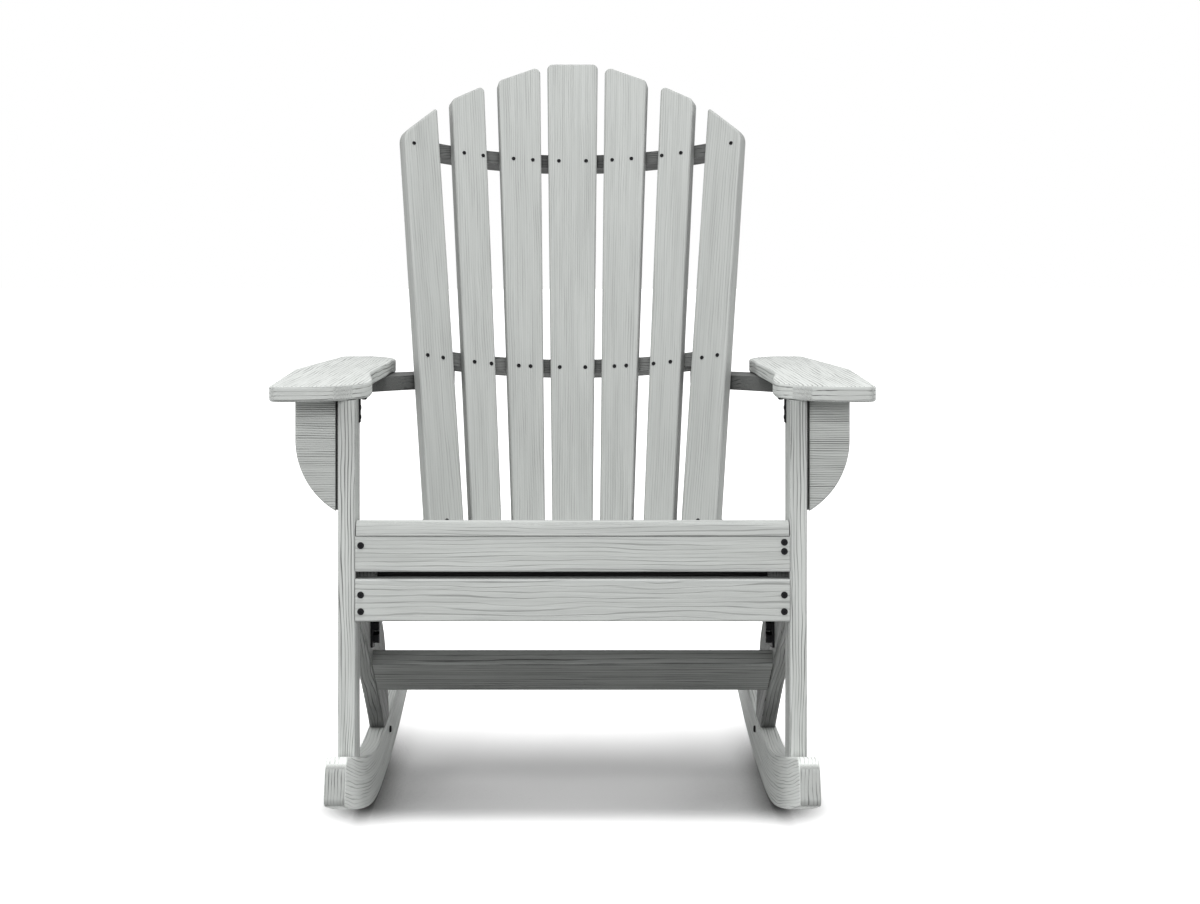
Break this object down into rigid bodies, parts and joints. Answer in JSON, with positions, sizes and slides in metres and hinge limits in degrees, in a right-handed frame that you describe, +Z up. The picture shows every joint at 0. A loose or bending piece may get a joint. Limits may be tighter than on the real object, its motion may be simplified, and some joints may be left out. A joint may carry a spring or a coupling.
{
  "type": "rocking adirondack chair",
  "caption": "Wooden adirondack armchair on curved rockers, with a fanned slatted back, a sloping slatted seat and broad flat arms.",
  "frame": {"origin": "on the floor, under the middle of the whole chair's box, at the height of the rockers' lowest line", "axes": "+Z up, the front of the chair faces -Y, +X is on the right when the chair is seen from the front"},
  "size_m": [0.792, 0.8716, 1.0677],
  "materials": {
    "painted_wood": "pale grey stain over brushed, open-grained boards",
    "raw_wood": "bare dowel wood",
    "black_steel": "black coated steel"
  },
  "bodies": {
    "root": {"arm_angle_left": "black_steel", "arm_angle_right": "black_steel", "arm_block_screws": "black_steel", "arm_bracket_dowels": "raw_wood", "arm_bracket_left": "painted_wood", "arm_bracket_right": "painted_wood", "arm_left": "painted_wood", "arm_rear_bar_left": "painted_wood", "arm_rear_bar_right": "painted_wood", "arm_rear_block_left": "painted_wood", "arm_rear_block_right": "painted_wood", "arm_right": "painted_wood", "arm_screws": "black_steel", "back_slat_1": "painted_wood", "back_slat_2": "painted_wood", "back_slat_3": "painted_wood", "back_slat_4": "painted_wood", "back_slat_5": "painted_wood", "back_slat_6": "painted_wood", "back_slat_7": "painted_wood", "corner_plate_bolts": "black_steel", "foot_dowels": "raw_wood", "frame_bolts": "black_steel", "frame_nuts": "black_steel", "frame_washers": "black_steel", "front_apron": "painted_wood", "front_board_screws": "black_steel", "front_leg_left": "painted_wood", "front_leg_right": "painted_wood", "lower_back_rail": "painted_wood", "lower_rail_screws": "black_steel", "middle_back_rail": "painted_wood", "middle_rail_screws": "black_steel", "rear_strut_left": "painted_wood", "rear_strut_right": "painted_wood", "rocker_bolts": "black_steel", "rocker_left": "painted_wood", "rocker_right": "painted_wood", "seat_cross_rail": "painted_wood", "seat_front_slat": "painted_wood", "seat_rear_slat": "painted_wood", "seat_side_rail_left": "painted_wood", "seat_side_rail_right": "painted_wood", "seat_slat_1": "painted_wood", "seat_slat_2": "painted_wood", "seat_slat_3": "painted_wood", "seat_slat_4": "painted_wood", "seat_slat_5": "painted_wood", "seat_slat_screws": "black_steel", "stretcher": "painted_wood", "stretcher_screws": "black_steel", "strut_corner_plate_left": "black_steel", "strut_corner_plate_right": "black_steel", "upper_back_rail": "painted_wood", "upper_rail_screws": "black_steel"}
  },
  "joints": []
}
